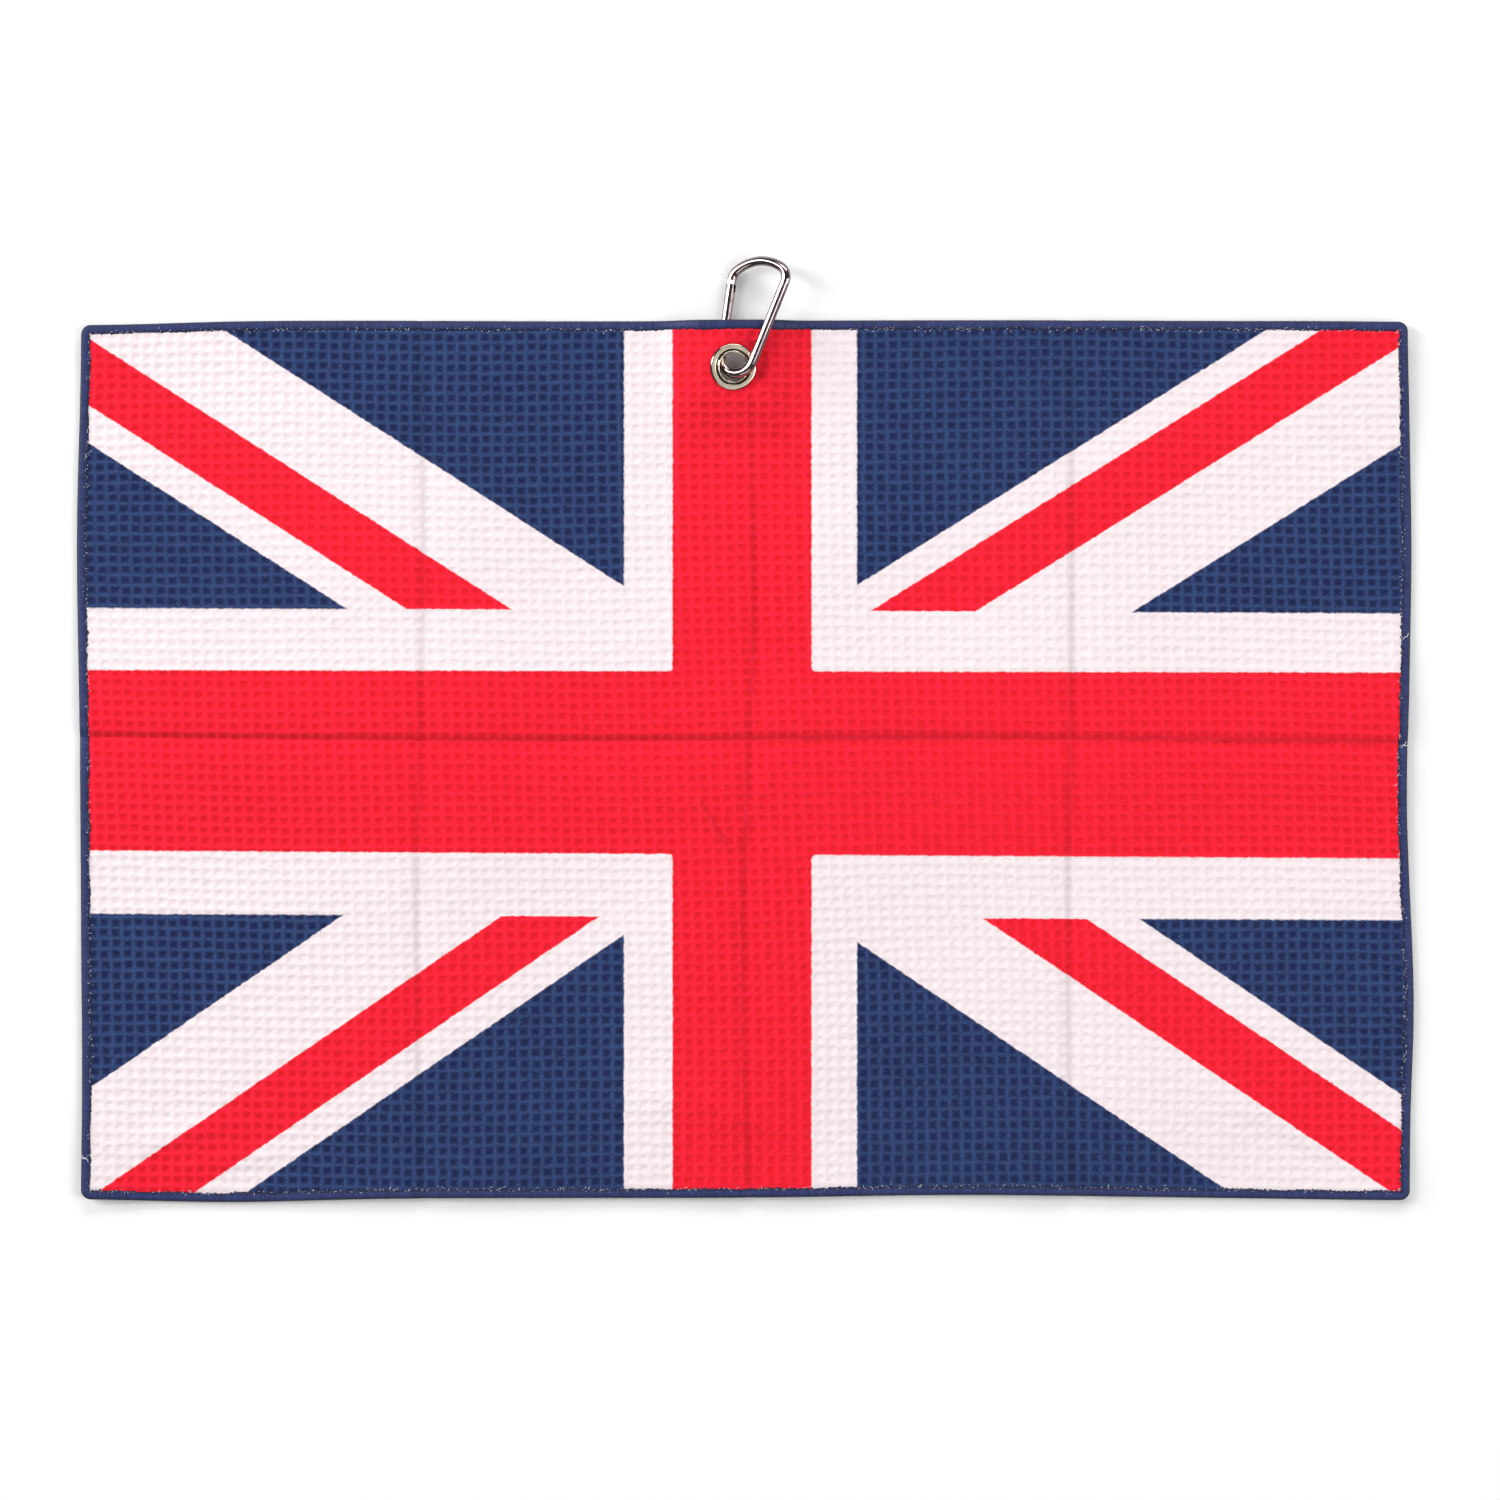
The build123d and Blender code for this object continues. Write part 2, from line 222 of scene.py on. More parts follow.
# block of quads left out for the grommet's hole, an even number each way
BLOCK = 12
block_i = int(round((HOLE[0] - grid_x[0]) / (grid_x[1] - grid_x[0]) / STEP)) * STEP - BLOCK // 2
block_j = int(round((HOLE[1] - grid_y[0]) / (grid_y[1] - grid_y[0]) / STEP)) * STEP - BLOCK // 2
half_x = (grid_x[block_i + BLOCK] - grid_x[block_i]) / 2
half_y = (grid_y[block_j + BLOCK] - grid_y[block_j]) / 2
block_mid = (grid_x[block_i] + half_x, grid_y[block_j] + half_y)


def round_hole(x, y):
    """Draws the square left out of the grid onto the grommet's barrel."""
    dx, dy = x - block_mid[0], y - block_mid[1]
    square = np.maximum(np.abs(dx) / half_x, np.abs(dy) / half_y)
    size = np.maximum(np.hypot(dx, dy), 1e-6)
    ring_x = HOLE[0] + dx / size * BARREL_R * square
    ring_y = HOLE[1] + dy / size * BARREL_R * square
    keep = ease((square - 1.0) / 3.0)
    return ring_x + (x - ring_x) * keep, ring_y + (y - ring_y) * keep


def cloth_side(step, front):
    """Vertex grid of one face of the cloth, thinned where it is stitched or clamped."""
    x, y = np.meshgrid(grid_x[::step], grid_y[::step], indexing="ij")
    x, y = round_corner(x, y)
    x, y = round_hole(x, y)
    inset = np.minimum(LONG / 2 - np.abs(x), SHORT / 2 - np.abs(y))
    radius = np.hypot(x - HOLE[0], y - HOLE[1])
    clamp = 1.0 - ease((radius - CLAMP_R) / CLAMP_RUN)
    stitched = 1.0 - ease((inset - STITCHED_W) / STITCHED_RUN)
    free = (1 - clamp) * (1 - stitched)
    half = CLOTH_T / 2 - (CLOTH_T - CLAMP_T) / 2 * clamp - STITCHED_PINCH * stitched * (1 - clamp)
    relief = pit(x, y) if front else pit(x + 0.5 * PITCH_X, y + 0.5 * PITCH_TOP)
    fibre = 0.10 * rng.normal(size=x.shape) * free
    if front:
        z = CLOTH_T / 2 + half - PIT_FRONT * relief * free + fibre * 0.7
    else:
        z = CLOTH_T / 2 - half + PIT_BACK * relief * free + np.abs(fibre) * 0.5
    return place(x, y, z), creased(*warp(x, y)) * free


def mesh_object(name, verts, faces):
    """Mesh object from arrays; faces is a list of index arrays, one per corner count."""
    mesh = bpy.data.meshes.new(name)
    verts = np.ascontiguousarray(verts.reshape(-1, 3), dtype=np.float32)
    loops = np.concatenate([f.reshape(-1) for f in faces]).astype(np.int32)
    totals = np.concatenate([np.full(len(f), f.shape[1]) for f in faces]).astype(np.int32)
    starts = np.concatenate([[0], np.cumsum(totals)[:-1]]).astype(np.int32)
    mesh.vertices.add(len(verts))
    mesh.vertices.foreach_set("co", verts.ravel())
    mesh.loops.add(len(loops))
    mesh.loops.foreach_set("vertex_index", loops)
    mesh.polygons.add(len(totals))
    mesh.polygons.foreach_set("loop_start", starts)
    mesh.polygons.foreach_set("loop_total", totals)
    mesh.update(calc_edges=True)
    mesh.validate()
    mesh.polygons.foreach_set("use_smooth", np.ones(len(mesh.polygons), dtype=bool))
    obj = bpy.data.objects.new(name, mesh)
    bpy.context.scene.collection.objects.link(obj)
    return obj


def grid_faces(count_i, count_j, hole_i, hole_j, hole_n, flip, offset):
    """Quads of a vertex grid, less the square block left out for the hole."""
    i, j = np.meshgrid(np.arange(count_i - 1), np.arange(count_j - 1), indexing="ij")
    keep = ~((i >= hole_i) & (i < hole_i + hole_n) & (j >= hole_j) & (j < hole_j + hole_n))
    i, j = i[keep], j[keep]
    a = i * count_j + j
    quad = np.stack([a, a + count_j, a + count_j + 1, a + 1], axis=-1)
    if flip:
        quad = quad[:, ::-1]
    return quad + offset


def border(count_i, count_j, low_i, low_j, high_i, high_j):
    """Vertex numbers round a rectangle of the grid, anticlockwise from its low corner."""
    run = [(i, low_j) for i in range(low_i, high_i)]
    run += [(high_i, j) for j in range(low_j, high_j)]
    run += [(i, high_j) for i in range(high_i, low_i, -1)]
    run += [(low_i, j) for j in range(high_j, low_j, -1)]
    return np.array([i * count_j + j for i, j in run])


def stitch(fine, coarse, flip):
    """Faces between a fine border and one with half as many points."""
    n = len(coarse)
    tri, quad = [], []
    for k in range(n):
        f0, f1, f2 = fine[2 * k], fine[2 * k + 1], fine[(2 * k + 2) % (2 * n)]
        c0, c1 = coarse[k], coarse[(k + 1) % n]
        tri.append((f1, f0, c0))
        quad.append((f2, f1, c0, c1))
    tri, quad = np.array(tri), np.array(quad)
    if flip:
        tri, quad = tri[:, ::-1], quad[:, ::-1]
    return tri, quad


front_pts, front_crease = cloth_side(1, True)
back_pts, back_crease = cloth_side(STEP, False)
fi, fj = front_pts.shape[:2]
bi, bj = back_pts.shape[:2]
base = fi * fj
faces_front = grid_faces(fi, fj, block_i, block_j, BLOCK, False, 0)
faces_back = grid_faces(bi, bj, block_i // STEP, block_j // STEP, BLOCK // STEP, True, base)
outer_f = border(fi, fj, 0, 0, fi - 1, fj - 1)
outer_b = border(bi, bj, 0, 0, bi - 1, bj - 1) + base
inner_f = border(fi, fj, block_i, block_j, block_i + BLOCK, block_j + BLOCK)
inner_b = border(
    bi, bj, block_i // STEP, block_j // STEP, (block_i + BLOCK) // STEP, (block_j + BLOCK) // STEP
) + base
tri_o, quad_o = stitch(outer_f, outer_b, False)
tri_i, quad_i = stitch(inner_f, inner_b, True)
cloth_verts = np.concatenate([front_pts.reshape(-1, 3), back_pts.reshape(-1, 3)])

# drop the points inside the left-out block, which no face uses
quads = np.concatenate([faces_front, faces_back, quad_o, quad_i])
tris = np.concatenate([tri_o, tri_i])
used = np.zeros(len(cloth_verts), dtype=bool)
used[quads.ravel()] = True
used[tris.ravel()] = True
renumber = np.cumsum(used) - 1
cloth = mesh_object("towel_waffle_cloth", cloth_verts[used], [renumber[quads], renumber[tris]])


# ------------------------------------------------------------ overlocked edge
def rim_point(s, inset):
    """Point on the towel's rounded outline at a distance s round it, drawn in by inset."""
    straight_x, straight_y = LONG - 2 * CORNER_R, SHORT - 2 * CORNER_R
    arc = math.pi / 2 * CORNER_R
    total = 2 * (straight_x + straight_y) + 4 * arc
    s = np.mod(s, total)
    x, y = np.zeros_like(s), np.zeros_like(s)
    start = 0.0
    corner = [(1, -1), (1, 1), (-1, 1), (-1, -1)]
    heading = [(1, 0), (0, 1), (-1, 0), (0, -1)]
    for side in range(4):
        run = straight_x if side % 2 == 0 else straight_y
        hx, hy = heading[side]
        nx, ny = -hy, hx
        px, py = corner[side - 1]
        ex, ey = corner[side]
        on = (s >= start) & (s < start + run)
        d = s - start
        if side % 2 == 0:
            bx, by = px * (LONG / 2 - CORNER_R), ey * SHORT / 2
        else:
            bx, by = ex * LONG / 2, py * (SHORT / 2 - CORNER_R)
        x = np.where(on, bx + hx * d + nx * inset, x)
        y = np.where(on, by + hy * d + ny * inset, y)
        start += run
        on = (s >= start) & (s < start + arc)
        turn = (s - start) / CORNER_R
        ox, oy = -nx, -ny
        cx, cy = ex * (LONG / 2 - CORNER_R), ey * (SHORT / 2 - CORNER_R)
        rad = CORNER_R - inset
        x = np.where(on, cx + rad * (ox * np.cos(turn) + hx * np.sin(turn)), x)
        y = np.where(on, cy + rad * (oy * np.cos(turn) + hy * np.sin(turn)), y)
        start += arc
    return x, y


PERIMETER = 2 * (LONG + SHORT - 4 * CORNER_R) + 2 * math.pi * CORNER_R
STITCH = 0.92
stitches = int(round(PERIMETER / STITCH))
PER_STITCH = 4
ring_n = stitches * PER_STITCH
s_line = np.arange(ring_n) / ring_n * PERIMETER
phase = (np.arange(ring_n) % PER_STITCH) / PER_STITCH
number = np.arange(ring_n) // PER_STITCH
reach_var = rng.normal(0.0, 0.22, stitches) + 0.25 * np.sin(np.arange(stitches) / 5.3)
height_var = rng.normal(0.0, 0.03, stitches)
slant_var = rng.normal(0.0, 0.08, stitches)
tone_var = rng.random(stitches)

# cross-section of the wrapped edge: (share of the width drawn in, height)
profile = [
    (1.00, 1.98), (0.93, 2.16), (0.78, 2.30), (0.55, 2.38), (0.32, 2.34), (0.14, 2.14),
    (0.035, 1.74), (0.0, 1.22), (0.035, 0.70), (0.14, 0.34), (0.32, 0.12), (0.55, 0.05),
    (0.78, 0.08), (0.93, 0.20), (1.00, 0.36), (0.90, 0.75), (0.90, 1.55),
]
profile_n = len(profile)
band = np.zeros((ring_n, profile_n, 3))
normals_out = [0.3, 0.8, 1.0, 1.0, 1.0, 0.9, 0.8, 0.8, 0.8, 0.9, 0.6, 0.3, 0.3, 0.3, 0.2, 0.0, 0.0]
for k, (share, height) in enumerate(profile):
    swell_k = normals_out[k] * (0.10 * np.sin(math.pi * phase) - 0.05) + height_var[number] * normals_out[k]
    width = EDGE_W * share + (reach_var[number] if share > 0.75 else 0.0) * share
    width = width - swell_k * (0.6 if share < 0.2 else 0.0)
    slant = (0.55 + slant_var[number]) * (share if k < 8 else -share)
    x, y = rim_point(s_line + slant, width)
    side = 1.0 if height > 1.2 else -0.25
    z = height + swell_k * side
    band[:, k] = place(x, y, np.maximum(z, 0.02))

here = np.arange(ring_n) * profile_n
there = (np.arange(ring_n) + 1) % ring_n * profile_n
band_faces = []
for k in range(profile_n):
    k2 = (k + 1) % profile_n
    band_faces.append(np.stack([here + k, here + k2, there + k2, there + k], axis=-1))
edge_band = mesh_object("edge_overlock_wrap", band, [np.concatenate(band_faces)])


def paint(obj, name, values):
    """Stores a number on each vertex for the material to read."""
    layer = obj.data.attributes.new(name, "FLOAT", "POINT")
    layer.data.foreach_set("value", np.ascontiguousarray(values, dtype=np.float32).ravel())


paint(edge_band, "tone", np.repeat(tone_var[number][:, None], profile_n, axis=1))
# painted shade: the wrap is darker towards both its borders, at the rolled outer rim and along the inner
# border
share_of = np.array([share for share, _ in profile])
middle_of = 1.0 - np.clip(np.abs(share_of - 0.5) / 0.5, 0.0, 1.0) ** 1.6
paint(edge_band, "middle", np.repeat(middle_of[None, :], ring_n, axis=0))


def tubes(name, paths, radii, sides=5):
    """One mesh of many thin closed tubes, each along its own list of points."""
    verts, quads, caps_n = [], [], []
    offset = 0
    for path, radius in zip(paths, radii):
        path = np.asarray(path, dtype=float)
        n = len(path)
        tangent = np.gradient(path, axis=0)
        tangent /= np.maximum(np.linalg.norm(tangent, axis=1, keepdims=True), 1e-12)
        up = np.array([0.0, 0.0, 1.0]) if abs(tangent[0][2]) < 0.8 else np.array([1.0, 0.0, 0.0])
        side = np.cross(tangent, up)
        side /= np.maximum(np.linalg.norm(side, axis=1, keepdims=True), 1e-12)
        top = np.cross(side, tangent)
        turn = np.arange(sides) / sides * 2 * math.pi
        size = np.full(n, radius)
        size[0] *= 0.35
        size[-1] *= 0.35
        ring = path[:, None, :] + size[:, None, None] * (
            np.cos(turn)[None, :, None] * side[:, None, :] + np.sin(turn)[None, :, None] * top[:, None, :]
        )
        verts.append(ring.reshape(-1, 3))
        a = np.arange(n - 1)[:, None] * sides + np.arange(sides)[None, :]
        b = np.arange(n - 1)[:, None] * sides + (np.arange(sides)[None, :] + 1) % sides
        quads.append((np.stack([a, a + sides, b + sides, b], axis=-1).reshape(-1, 4)) + offset)
        caps_n.append(np.arange(sides)[None, :] + offset)
        caps_n.append(np.arange(sides)[None, ::-1] + (n - 1) * sides + offset)
        offset += n * sides
    return mesh_object(name, np.concatenate(verts), [np.concatenate(quads), np.concatenate(caps_n)])


# needle thread: a row of short stitches that holds the wraps along their inner border
needle_paths = []
for k in range(stitches):
    s0 = (k + 0.08) * PERIMETER / stitches
    s1 = (k + 1.02) * PERIMETER / stitches
    s = np.linspace(s0, s1, 5)
    bow = np.array([0.0, 0.8, 1.0, 0.8, 0.0])
    x, y = rim_point(s, np.full(5, EDGE_W - 0.55) + np.linspace(0.10, -0.10, 5))
    needle_paths.append(place(x, y, 2.16 + 0.17 * bow))
needle = tubes("edge_needle_row", needle_paths, [0.15 * MM] * stitches, 5)

# pale fibres of the cloth that poke through and past the inner border, and the part of
# the upper edge that the hook swings across, where there are none
TUFTS = 1500
SWEEP_Y, SWEEP_HALF_X = 190.0, 42.0
tuft_paths, tuft_radii = [], []
for k in range(TUFTS):
    s0 = rng.random() * PERIMETER
    inset = EDGE_W + rng.normal(-0.25, 0.45)
    lean_s, lean_in = rng.normal(0, 0.7), rng.normal(0.1, 0.6)
    t = np.linspace(0, 1, 4)
    x, y = rim_point(s0 + lean_s * t, inset + lean_in * t)
    height = 0.25 + 0.3 * rng.random()
    if y[0] > SWEEP_Y and abs(x[0] - HOLE[0]) < SWEEP_HALF_X:
        continue
    tuft_paths.append(place(x, y, 2.22 + height * np.sin(math.pi * 0.8 * t)))
    tuft_radii.append((0.05 + 0.05 * rng.random()) * MM)

# a few loose thread ends lying across the wrapped edge
loose = [
    ((-303.6, -181.0), (-300.4, -184.6), 0.5),
    ((-304.2, -183.4), (-301.0, -182.0), -0.4),
    ((304.6, 58.2), (301.6, 54.6), 0.5),
    ((303.4, 8.6), (301.0, 5.2), 0.4),
    ((305.0, 6.0), (302.4, 7.0), -0.3),
    ((-304.9, 196.8), (-306.6, 197.6), 0.2),
]
for (ax, ay), (bx, by), sag in loose:
    t = np.linspace(0, 1, 7)
    x = ax + (bx - ax) * t + sag * np.sin(math.pi * t)
    y = ay + (by - ay) * t - sag * np.sin(2 * math.pi * t)
    z = 2.52 + 0.15 * np.sin(math.pi * t)
    tuft_paths.append(np.stack([x, y, z + lift(x, y) + drape(x, y)], axis=-1) * MM)
    tuft_radii.append(0.16 * MM)
tufts = tubes("cloth_loose_fibres", tuft_paths, tuft_radii, 4)


# -------------------------------------------------------------- node helpers
class Wire:
    """A shader value that can be added, multiplied and compared in Python."""

    def __init__(self, tree, socket):
        self.tree, self.socket = tree, socket

    def math(self, kind, other=None, third=None, clamp=False):
        """One math node on this value."""
        node = self.tree.nodes.new("ShaderNodeMath")
        node.operation, node.use_clamp = kind, clamp
        for slot, value in enumerate((self, other, third)):
            if isinstance(value, Wire):
                self.tree.links.new(value.socket, node.inputs[slot])
            elif value is not None:
                node.inputs[slot].default_value = value
        return Wire(self.tree, node.outputs[0])

    def __add__(self, other):
        return self.math("ADD", other)

    def __radd__(self, other):
        return self.math("ADD", other)

    def __sub__(self, other):
        return self.math("SUBTRACT", other)

    def __rsub__(self, other):
        return (self * -1.0) + other

    def __mul__(self, other):
        return self.math("MULTIPLY", other)

    def __rmul__(self, other):
        return self.math("MULTIPLY", other)

    def __truediv__(self, other):
        return self.math("DIVIDE", other)

    def below(self, limit, soft):
        """1 where this is under the limit, 0 over it, with a soft change."""
        return ((limit - self) / soft).math("ADD", 0.5, clamp=True)

    def above(self, limit, soft):
        """1 where this is over the limit, 0 under it, with a soft change."""
        return ((self - limit) / soft).math("ADD", 0.5, clamp=True)

    def absolute(self):
        return self.math("ABSOLUTE")

    def sine(self):
        return self.math("SINE")

    def part(self):
        return self.math("FRACT")

    def max(self, other):
        return self.math("MAXIMUM", other)

    def min(self, other):
        return self.math("MINIMUM", other)


def srgb(r, g, b):
    """Linear colour from an 8-bit display colour."""
    out = []
    for c in (r, g, b):
        c = c / 255.0
        out.append(c / 12.92 if c <= 0.04045 else ((c + 0.055) / 1.055) ** 2.4)
    return (*out, 1.0)


def new_material(name):
    """Empty node material: (material, tree, shader)."""
    mat = bpy.data.materials.new(name)
    mat.use_nodes = True
    tree = mat.node_tree
    shader = next(n for n in tree.nodes if n.type == "BSDF_PRINCIPLED")
    return mat, tree, shader


def noise(tree, vector, scale, detail, rough):
    """Noise texture node read at the vector."""
    node = tree.nodes.new("ShaderNodeTexNoise")
    node.inputs["Scale"].default_value = scale
    node.inputs["Detail"].default_value = detail
    node.inputs["Roughness"].default_value = rough
    tree.links.new(vector, node.inputs["Vector"])
    return node


def mix(tree, factor, low, high):
    """Colour between low and high; each is a colour or a socket."""
    node = tree.nodes.new("ShaderNodeMix")
    node.data_type = "RGBA"
    for slot, value in ((0, factor), (6, low), (7, high)):
        if isinstance(value, Wire):
            tree.links.new(value.socket, node.inputs[slot])
        elif isinstance(value, bpy.types.NodeSocket):
            tree.links.new(value, node.inputs[slot])
        else:
            node.inputs[slot].default_value = value
    return node.outputs[2]


def bump(tree, height, strength, distance, shader):
    """Fine bump on the shader from a height, a Wire or a socket."""
    node = tree.nodes.new("ShaderNodeBump")
    node.inputs["Strength"].default_value = strength
    node.inputs["Distance"].default_value = distance
    tree.links.new(height.socket if isinstance(height, Wire) else height, node.inputs["Height"])
    tree.links.new(node.outputs["Normal"], shader.inputs["Normal"])


# ------------------------------------------------------------- cloth material
# HIGH is the colour on the waffle's ridges and LOW in its cells: the darker cells are partly the dye and
# partly painted shade
RED_HIGH, RED_LOW = srgb(252, 28, 58), srgb(228, 13, 33)
BLUE_HIGH, BLUE_LOW = srgb(46, 68, 114), srgb(18, 30, 74)
WHITE_HIGH, WHITE_LOW = srgb(241, 229, 232), srgb(238, 223, 227)

cloth_mat, tree, shader = new_material("waffle_microfibre_print")
coord = tree.nodes.new("ShaderNodeTexCoord")
where = coord.outputs["Object"]
split = tree.nodes.new("ShaderNodeSeparateXYZ")
tree.links.new(where, split.inputs[0])
x = Wire(tree, split.outputs["X"]) * 1000.0
y = Wire(tree, split.outputs["Y"]) * 1000.0

# ragged print edges: the ink follows the fibres
frizz = noise(tree, where, 420.0, 3.0, 0.6)
frizz_split = tree.nodes.new("ShaderNodeSeparateColor")
tree.links.new(frizz.outputs["Color"], frizz_split.inputs[0])
px = x + (Wire(tree, frizz_split.outputs["Red"]) - 0.5) * 1.3
py = y + (Wire(tree, frizz_split.outputs["Green"]) - 0.5) * 1.3
SOFT = 0.7


def between(value, low, high):
    """1 where the value lies between two limits."""
    return value.above(low, SOFT) * value.below(high, SOFT)


def cross(left, right, bottom, top, fillet):
    """Upright cross of two bars whose inner corners are filleted."""
    upright = (px - left).min(right - px)
    level = (py - bottom).min(top - py)
    return upright.math("SMOOTH_MAX", level, fillet).above(0.0, SOFT)


red_cross = cross(-32.8, 31.0, px * -0.00607 - 43.45, px * -0.00197 + 40.6, 3.2)
white_cross = cross(-55.0, 51.8, px * -0.0049 - 72.0, px * -0.0041 + 68.35, 3.2)
outside = py.above(px * -0.0041 + 68.35, SOFT).max(py.below(px * -0.0049 - 72.0, SOFT))

right_half = x.above(0.0, 0.2)
upper_half = y.above(0.0, 0.2)
left_half = 1.0 - right_half
lower_half = 1.0 - upper_half

# each saltire arm: where, slope, height at the middle, white on the broad side,
# red width and white on the narrow side; +1 if the broad white is above the line
arms = [
    (left_half * upper_half, -0.6407, 1.3, 43.6, 30.7, 17.4, 1.0),
    (right_half * upper_half, 0.6232, 1.3, 45.0, 30.3, 15.6, -1.0),
    (left_half * lower_half, 0.6824, 3.6, 50.0, 30.7, 16.1, 1.0),
    (right_half * lower_half, -0.6703, 1.3, 49.5, 31.7, 16.1, -1.0),
]
arm_red = arm_white = None
for area, slope, middle, broad, red_w, narrow, side in arms:
    off = (py - ((px + 0.9) * slope + middle)) * side
    red = area * between(off, -red_w, 0.0) * outside
    white = area * between(off, -red_w - narrow, broad)
    arm_red = red if arm_red is None else arm_red.max(red)
    arm_white = white if arm_white is None else arm_white.max(white)

# waffle cells as in weave() and pit(), less their change of size. The relief is laid out
# before warp() moves the sheet and this after it, so the two are up to 2.4 mm apart.
down_t = (y * (-1.0 / SHORT)) + 0.5
down = (down_t * SHORT) / (down_t * ((PITCH_BOTTOM - PITCH_TOP) * 0.5) + PITCH_TOP)
down = down + (x / 71.0).sine() * 0.16 + (x / 29.0 + y / 60.0).sine() * 0.10
across = (x + y * LEAN + (y / 63.0).sine() * 1.1 + (x / 47.0 + y / 90.0).sine() * 0.5) / PITCH_X
cell_i, cell_j = across.math("FLOOR"), down.math("FLOOR")
off_a = (cell_i * 12.9 + cell_j * 78.2).sine() * 0.10
off_b = (cell_i * 39.3 + cell_j * 11.1 + 1.7).sine() * 0.10
cell_a = (across.part() * 2.0 - 1.0 + off_a).absolute()
cell_b = (down.part() * 2.0 - 1.0 + off_b).absolute()
grain = noise(tree, where, 900.0, 2.0, 0.6)
rim = cell_a.math("SMOOTH_MAX", cell_b, 0.35) + (Wire(tree, grain.outputs["Fac"]) - 0.5) * 0.9
crest = rim.math("MULTIPLY_ADD", 1.5, -0.55, clamp=True)

# cloudy nap, and fine fibres that catch the light
nap = noise(tree, where, 150.0, 4.0, 0.65)
cloud = noise(tree, where, 34.0, 3.0, 0.6)
fibre = noise(tree, where, 2600.0, 2.0, 0.7)
tone = (Wire(tree, nap.outputs["Fac"]) - 0.5) * 0.55 + (Wire(tree, cloud.outputs["Fac"]) - 0.5) * 0.22
tone = tone + (Wire(tree, fibre.outputs["Fac"]) - 0.5) * 0.5
# cell floors darker than the ridges: partly the dye, partly painted shade in the cells
crest_tone = (crest + tone).math("ADD", 0.0, clamp=True)

red_c = mix(tree, crest_tone, RED_LOW, RED_HIGH)
blue_c = mix(tree, crest_tone, BLUE_LOW, BLUE_HIGH)
white_c = mix(tree, crest_tone, WHITE_LOW, WHITE_HIGH)
colour = mix(tree, arm_white, blue_c, white_c)
colour = mix(tree, arm_red, colour, red_c)
colour = mix(tree, white_cross, colour, white_c)
colour = mix(tree, red_cross, colour, red_c)

# the back of the cloth is not printed: a little dye shows through as a pale cast
print_side = tree.nodes.new("ShaderNodeAttribute")
print_side.attribute_name = "face_up"
back_c = mix(tree, 0.13, white_c, colour)
colour = mix(tree, Wire(tree, print_side.outputs["Fac"]), back_c, colour)
# painted shade: the colour is darkened along the shaded side of the fold creases and one wrinkle
crease = tree.nodes.new("ShaderNodeAttribute")
crease.attribute_name = "crease"
crease_painted_shade = tree.nodes.new("ShaderNodeHueSaturation")
crease_painted_shade.inputs["Value"].default_value = 0.74
tree.links.new(colour, crease_painted_shade.inputs["Color"])
colour = mix(tree, Wire(tree, crease.outputs["Fac"]) * 0.45, colour, crease_painted_shade.outputs["Color"])
tree.links.new(colour, shader.inputs["Base Color"])
shader.inputs["Roughness"].default_value = 0.92
shader.inputs["Sheen Weight"].default_value = 0.28
shader.inputs["Sheen Roughness"].default_value = 0.45
shader.inputs["Specular IOR Level"].default_value = 0.22
fluff = Wire(tree, grain.outputs["Fac"]) * 0.6 + Wire(tree, fibre.outputs["Fac"]) * 0.5
bump(tree, fluff, 0.55, 0.0006, shader)
cloth.data.materials.append(cloth_mat)
face_up = np.concatenate([np.ones(fi * fj), np.zeros(bi * bj)])[used]
paint(cloth, "face_up", face_up)
# painted shade amount along the fold creases
paint(cloth, "crease", np.concatenate([front_crease.ravel(), back_crease.ravel()])[used])

# -------------------------------------------------------------- edge material
edge_mat, tree, shader = new_material("navy_overlock_thread")
coord = tree.nodes.new("ShaderNodeTexCoord")
tone_in = tree.nodes.new("ShaderNodeAttribute")
tone_in.attribute_name = "tone"
ply = noise(tree, coord.outputs["Object"], 1800.0, 2.0, 0.6)
patch = noise(tree, coord.outputs["Object"], 60.0, 2.0, 0.5)
shade = Wire(tree, tone_in.outputs["Fac"]) * 0.5 + (Wire(tree, ply.outputs["Fac"]) - 0.5) * 0.7
shade = (shade + Wire(tree, patch.outputs["Fac"]) * 0.5).math("ADD", 0.0, clamp=True)
middle = tree.nodes.new("ShaderNodeAttribute")
middle.attribute_name = "middle"
thread_c = mix(tree, shade, srgb(20, 30, 78), srgb(46, 62, 122))
# painted shade along both borders of the wrap
thread_c = mix(tree, Wire(tree, middle.outputs["Fac"]), srgb(6, 8, 34), thread_c)
tree.links.new(thread_c, shader.inputs["Base Color"])
shader.inputs["Roughness"].default_value = 0.55
shader.inputs["Sheen Weight"].default_value = 0.08
shader.inputs["Specular IOR Level"].default_value = 0.4
bump(tree, ply.outputs["Fac"], 0.4, 0.0002, shader)
edge_band.data.materials.append(edge_mat)

needle_mat, tree, shader = new_material("navy_needle_thread")
coord = tree.nodes.new("ShaderNodeTexCoord")
ply = noise(tree, coord.outputs["Object"], 2200.0, 2.0, 0.6)
needle_c = mix(tree, Wire(tree, ply.outputs["Fac"]), srgb(14, 18, 56), srgb(38, 50, 104))
tree.links.new(needle_c, shader.inputs["Base Color"])
shader.inputs["Roughness"].default_value = 0.6
bump(tree, ply.outputs["Fac"], 0.4, 0.0002, shader)
needle.data.materials.append(needle_mat)

fibre_mat, tree, shader = new_material("pale_loose_fibre")
coord = tree.nodes.new("ShaderNodeTexCoord")
ply = noise(tree, coord.outputs["Object"], 1500.0, 2.0, 0.6)
fibre_c = mix(tree, Wire(tree, ply.outputs["Fac"]), srgb(196, 192, 206), srgb(246, 243, 246))
tree.links.new(fibre_c, shader.inputs["Base Color"])
shader.inputs["Roughness"].default_value = 0.85
shader.inputs["Sheen Weight"].default_value = 0.3
tufts.data.materials.append(fibre_mat)


